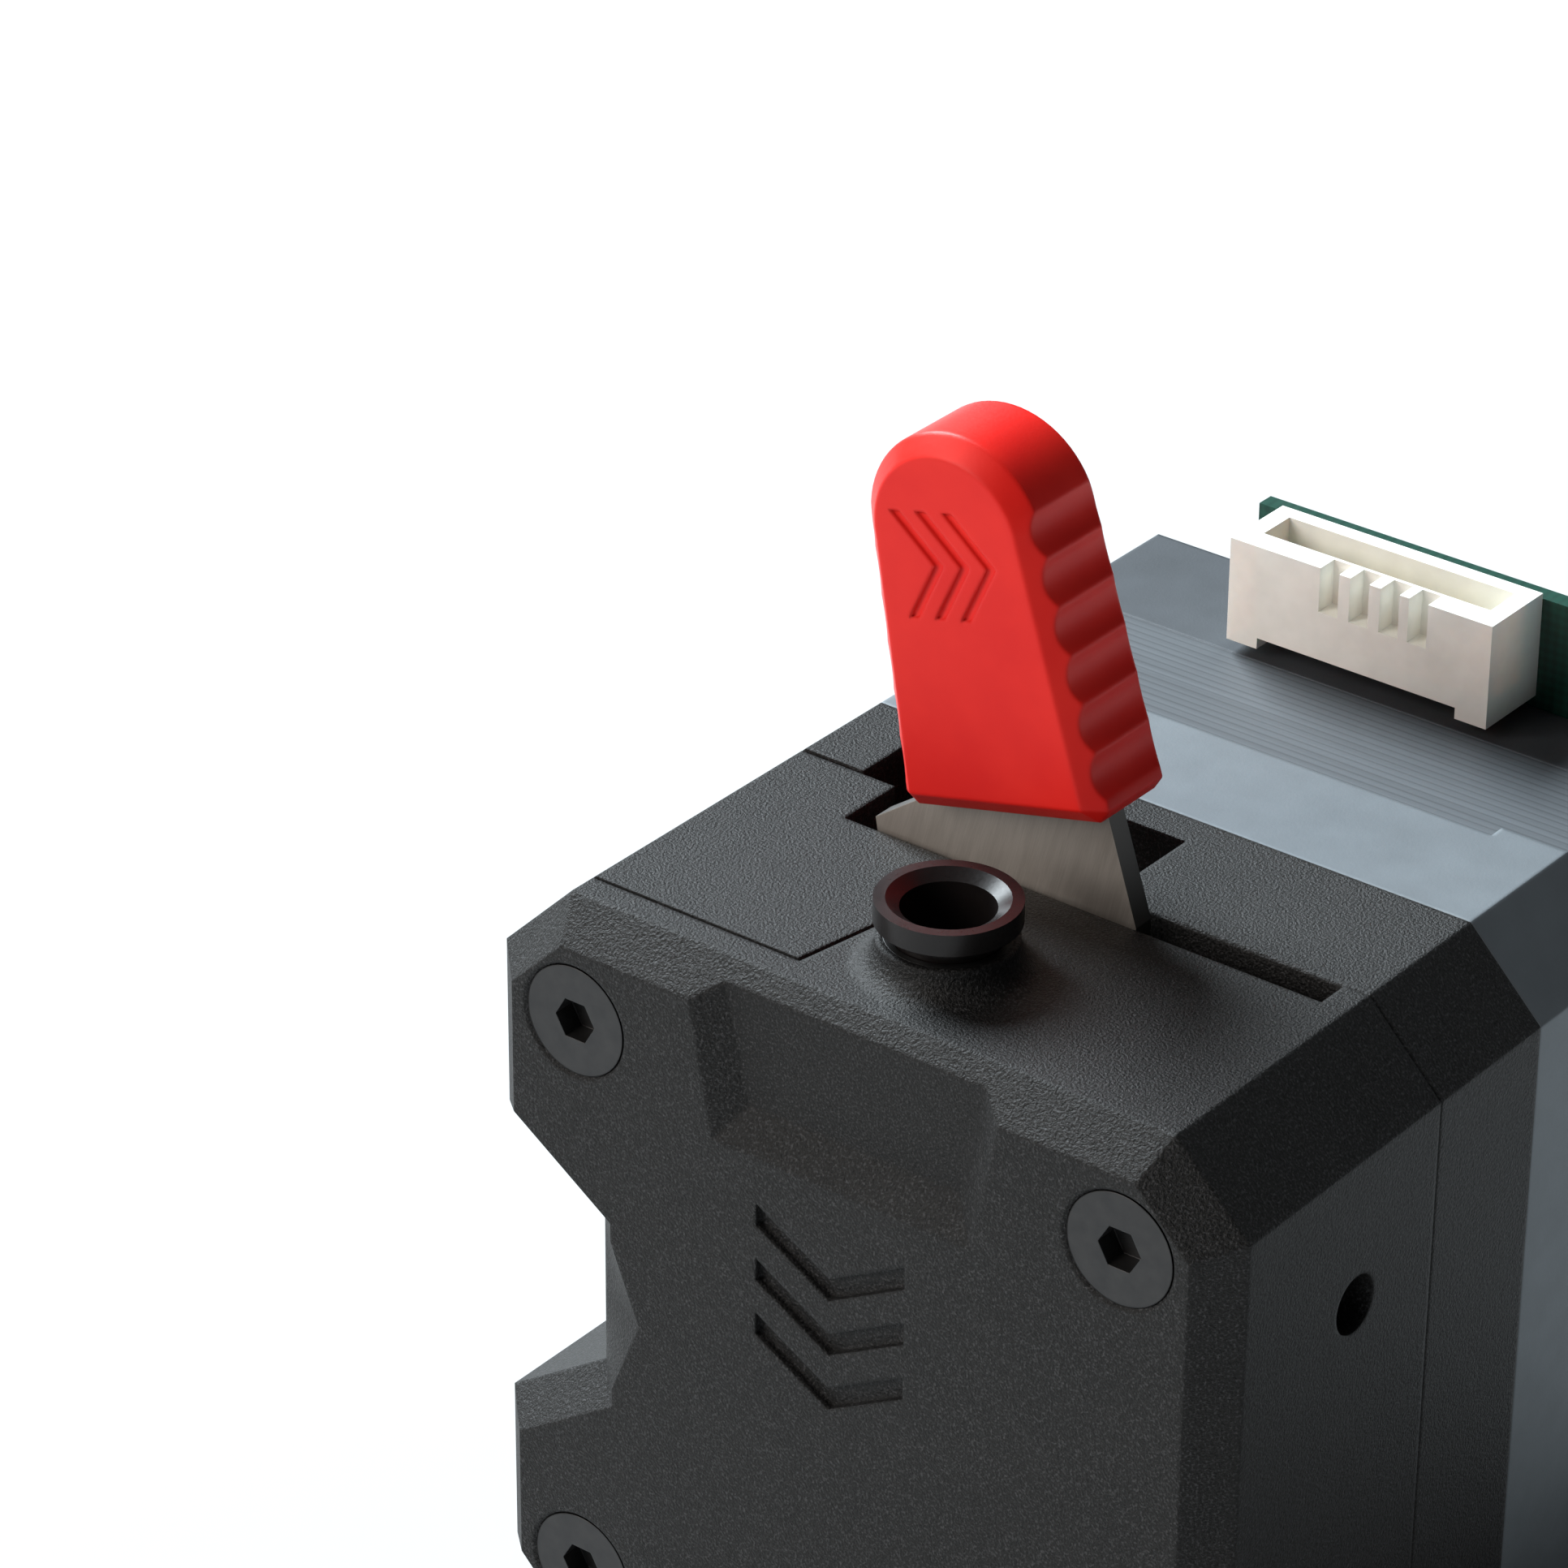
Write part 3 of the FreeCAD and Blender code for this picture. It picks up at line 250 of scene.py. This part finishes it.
def black_oxide():
    """Blackened screw steel, faintly uneven."""
    look = Look("black_oxide_steel", Metallic=0.8).rounded(SCREW_EDGE)
    rubbed = look.noise(1100, 3.0, 0.55)
    look.colour(look.ramp(rubbed, [(0.3, (0.042, 0.042, 0.043)), (0.75, (0.058, 0.057, 0.057))]))
    return look.rough(rubbed, 0.38, 0.5).bump(look.noise(9000), BRUSH_RELIEF, 0.4)


def brushed_plate():
    """Cold-rolled lever plate: finely brushed along its length, darker on its cut edges."""
    look = Look("lever_steel", Metallic=0.75).rounded(PLATE_EDGE)
    lean = (0, LEVER_LEAN, 0)
    strokes = look.noise(1.0, 3.0, 0.65, look.mapped((26000, 26000, 700), lean))
    broad = look.noise(1.0, 2.0, 0.5, look.mapped((2600, 2600, 260), lean))
    contrast = [(DARK, 0.0), (LIGHT, 1.0)]
    tone = look.mix(0.45, look.ramp(strokes, contrast), look.ramp(broad, contrast))
    flat = look.ramp(tone, [(0.2, (0.50, 0.455, 0.41)), (0.8, (0.60, 0.55, 0.50))])
    look.colour(look.mix(look.facing_y(), (0.115, 0.11, 0.105), flat))
    return look.rough(strokes, 0.36, 0.48).bump(strokes, BRUSH_RELIEF, 0.5)


def satin_red():
    """Moulded red handle, satin, with a faint moulding texture."""
    look = Look("handle_red", Specular_IOR_Level=0.22, Coat_Weight=0.04, Coat_Roughness=0.3)
    look.rounded(MOULDED_EDGE)
    cloud = look.noise(CLOUD, 3.0)
    look.colour(look.ramp(cloud, [(DARK, (0.76, 0.012, 0.009)), (LIGHT, (0.84, 0.020, 0.013))]))
    fine = look.noise(6500, 2.0, 0.6)
    return look.rough(fine, 0.34, 0.5).bump(fine, RED_RELIEF, 0.35)


def cast_metal(name, low, high, rough_low=0.5, rough_high=0.65):
    """Die-cast and bead-blasted bell."""
    look = Look(name, Metallic=0.4).rounded(MOULDED_EDGE)
    look.colour(look.ramp(look.noise(420, 3.0, 0.5), [(DARK, low), (LIGHT, high)]))
    fine = look.noise(8000, 2.0, 0.6)
    return look.rough(fine, rough_low, rough_high).bump(fine, CAST_RELIEF, 0.5)


def laminations():
    """Stack of thin coated sheets, seen as fine lines across the motor."""
    look = Look("motor_laminations", Metallic=0.35)
    lines = look.bands(SHEET_PITCH)
    sheet = look.noise(1.0, 1.0, 0.5, look.mapped((60, 2100, 60)))
    base = look.ramp(sheet, [(DARK, (0.085, 0.096, 0.108)), (LIGHT, (0.100, 0.113, 0.127))])
    edge = look.ramp(lines, [(0.0, 0.70), (0.25, 1.0)])
    look.colour(look.mix(1.0, base, edge, "MULTIPLY"))
    return look.rough(look.noise(5000), 0.5, 0.65).bump(lines, CAST_RELIEF, 0.4)


def moulded(name, base, spread=0.06, low=0.42, high=0.6, **sockets):
    """Moulded plastic with slight mottling and a fine skin."""
    look = Look(name, **sockets)
    look.colour(tinted(look, base, spread, 600))
    fine = look.noise(SKIN, 2.0)
    return look.rough(fine, low, high).bump(fine, MOULDED_RELIEF, 0.4)


def circuit_board():
    """Green solder mask over a faint glass weave."""
    look = Look("circuit_board", Coat_Weight=0.3, Coat_Roughness=0.2)
    weave = look.mix(0.5, look.bands(WEAVE_PITCH, "X"), look.bands(WEAVE_PITCH, "Z"))
    look.colour(look.ramp(weave, [(0.2, (0.004, 0.040, 0.028)), (0.8, (0.006, 0.062, 0.042))]))
    return look.rough(look.noise(2500), 0.3, 0.45).bump(weave, STEEL_RELIEF, 0.4)


LOOKS = {
    "housing_nylon": sintered_nylon(),
    "black_oxide_steel": black_oxide(),
    "bright_steel": satin_steel("bright_steel", (0.58, 0.58, 0.59)),
    "gear_steel": satin_steel("gear_steel", (0.40, 0.40, 0.41), 1400, 0.3, 0.45),
    "lever_steel": brushed_plate(),
    "aluminium": satin_steel("aluminium", (0.74, 0.75, 0.77), 1100, 0.25, 0.38),
    "brass": satin_steel("brass", (0.70, 0.50, 0.20), 1200, 0.24, 0.38),
    "copper": satin_steel("copper", (0.62, 0.26, 0.11), 2400, 0.25, 0.4, 0.9),
    "rubber": moulded("rubber", (0.022, 0.022, 0.022), 0.15, 0.7, 0.88),
    "collet_plastic": moulded("collet_plastic", (0.010, 0.008, 0.008), 0.2, 0.24, 0.36,
                              Specular_IOR_Level=0.3),
    "white_polymer": moulded("white_polymer", (0.80, 0.80, 0.77), 0.04, 0.3, 0.45),
    "wheel_polymer": moulded("wheel_polymer", (0.70, 0.67, 0.58), 0.06, 0.4, 0.55),
    "handle_red": satin_red(),
    "motor_bell": cast_metal("motor_bell", (0.145, 0.165, 0.182), (0.165, 0.188, 0.207)),
    "motor_laminations": laminations(),
    "motor_rear": cast_metal("motor_rear", (0.058, 0.066, 0.075), (0.068, 0.077, 0.088)),
    "circuit_board": circuit_board(),
    "connector_plastic": moulded("connector_plastic", (0.93, 0.925, 0.86), 0.05, 0.35, 0.5,
                                 Subsurface_Weight=0.05),
    "magnet": satin_steel("magnet", (0.11, 0.11, 0.12), 1800, 0.45, 0.6, 0.6),
}


def paint(piece, slot):
    piece.data.materials.clear()
    piece.data.materials.append(LOOKS[slot].material)


for name, node in NODES.items():
    for slot in node.material_slots:
        slot.material = LOOKS[SLOT_OF[name]].material

# --- pieces with softened edges ----------------------------------------------------------------

MERGE_DISTANCE = 0.002 * MM
FLAT_ANGLE = math.radians(0.5)
SHARP_ANGLE = math.radians(32)
HANDLE_EDGE = 0.30 * MM
HANDLE_SEGMENTS = 3


def linked(name, mesh):
    piece = bpy.data.objects.new(name, mesh)
    bpy.context.scene.collection.objects.link(piece)
    return piece


def softened(node, width, segments):
    """The CAD node's own surface with its sharp edges rounded over, in place of the node."""
    mesh = bmesh.new()
    mesh.from_mesh(NODES[node].data)
    bmesh.ops.remove_doubles(mesh, verts=mesh.verts, dist=MERGE_DISTANCE)
    bmesh.ops.dissolve_limit(mesh, angle_limit=FLAT_ANGLE, verts=mesh.verts, edges=mesh.edges)
    data = bpy.data.meshes.new(node + "_skin")
    mesh.to_mesh(data)
    mesh.free()
    piece = linked(node + "_skin", data)
    bevel = piece.modifiers.new("edges", "BEVEL")
    bevel.width = width
    bevel.segments = segments
    bevel.limit_method = "ANGLE"
    bevel.angle_limit = SHARP_ANGLE
    bevel.use_clamp_overlap = True
    for face in data.polygons:
        face.use_smooth = True
    data.set_sharp_from_angle(angle=SHARP_ANGLE)
    weighted = piece.modifiers.new("shading", "WEIGHTED_NORMAL")
    weighted.keep_sharp = True
    paint(piece, SLOT_OF[node])
    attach(piece, NODES[node]["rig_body"])
    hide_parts(node)


softened("lever_handle", HANDLE_EDGE, HANDLE_SEGMENTS)

# --- floor, light and camera -------------------------------------------------------------------

FLOOR_HALF = 2.0
FLOOR_DROP = 0.02 * MM
FLOOR_GREY = (0.55, 0.55, 0.55)
WORLD_STRENGTH = 0.06
LIGHT_AIM = (0, 0.015, 0.03)
CAMERA_PLACE = (0.14620, -0.19948, 0.18835)
CAMERA_TURN = (37.97, 28.96, -0.37)  # azimuth, elevation and roll in degrees
CAMERA_LENS = 145.12
CAMERA_SENSOR = 36
CAMERA_CLIP = (0.01, 20)


def floor():
    mesh = bmesh.new()
    corner_signs = ((-1, -1), (1, -1), (1, 1), (-1, 1))
    mesh.faces.new([mesh.verts.new((x * FLOOR_HALF, y * FLOOR_HALF, -FLOOR_DROP))
                    for x, y in corner_signs])
    data = bpy.data.meshes.new("floor")
    mesh.to_mesh(data)
    mesh.free()
    piece = linked("floor", data)
    look = Look("floor_paper", Roughness=0.9, Specular_IOR_Level=0.1)
    look.colour(tinted(look, FLOOR_GREY, 0.01, 6))
    look.bump(look.noise(900, 3.0), PAPER_RELIEF, 0.2)
    data.materials.append(look.material)


def area_light(name, place, size, power, colour):
    light = bpy.data.lights.new(name, "AREA")
    light.shape = "DISK"
    light.size = size
    light.energy = power
    light.color = colour
    lamp = bpy.data.objects.new(name, light)
    lamp.location = place
    lamp.rotation_euler = (Vector(LIGHT_AIM) - Vector(place)).to_track_quat("-Z", "Y").to_euler()
    bpy.context.scene.collection.objects.link(lamp)


def world():
    sky = bpy.data.worlds.new("studio")
    sky.use_nodes = True
    background = sky.node_tree.nodes["Background"]
    background.inputs["Color"].default_value = (1.0, 1.0, 1.0, 1)
    background.inputs["Strength"].default_value = WORLD_STRENGTH
    bpy.context.scene.world = sky
    bpy.context.scene.view_settings.view_transform = "Standard"


def camera():
    azimuth, elevation, roll = (math.radians(angle) for angle in CAMERA_TURN)
    right = Vector((math.cos(azimuth), math.sin(azimuth), 0))
    back = Vector((math.sin(azimuth) * math.cos(elevation), -math.cos(azimuth) * math.cos(elevation),
                   math.sin(elevation)))
    up = back.cross(right)
    turned_right = right * math.cos(roll) - up * math.sin(roll)
    turned_up = right * math.sin(roll) + up * math.cos(roll)
    data = bpy.data.cameras.new("camera")
    data.sensor_width = CAMERA_SENSOR
    data.lens = CAMERA_LENS
    data.clip_start, data.clip_end = CAMERA_CLIP
    eye = bpy.data.objects.new("camera", data)
    turn = Matrix((turned_right, turned_up, back)).transposed().to_4x4()
    eye.matrix_world = Matrix.Translation(CAMERA_PLACE) @ turn
    bpy.context.scene.collection.objects.link(eye)
    bpy.context.scene.camera = eye


floor()
world()
area_light("key", place=(-1.14, 0.38, 1.045), size=0.95, power=65, colour=(0.86, 0.95, 1.0))
area_light("front", place=(-0.70, -1.17, 0.805), size=1.0, power=17, colour=(1.0, 0.94, 0.88))
camera()
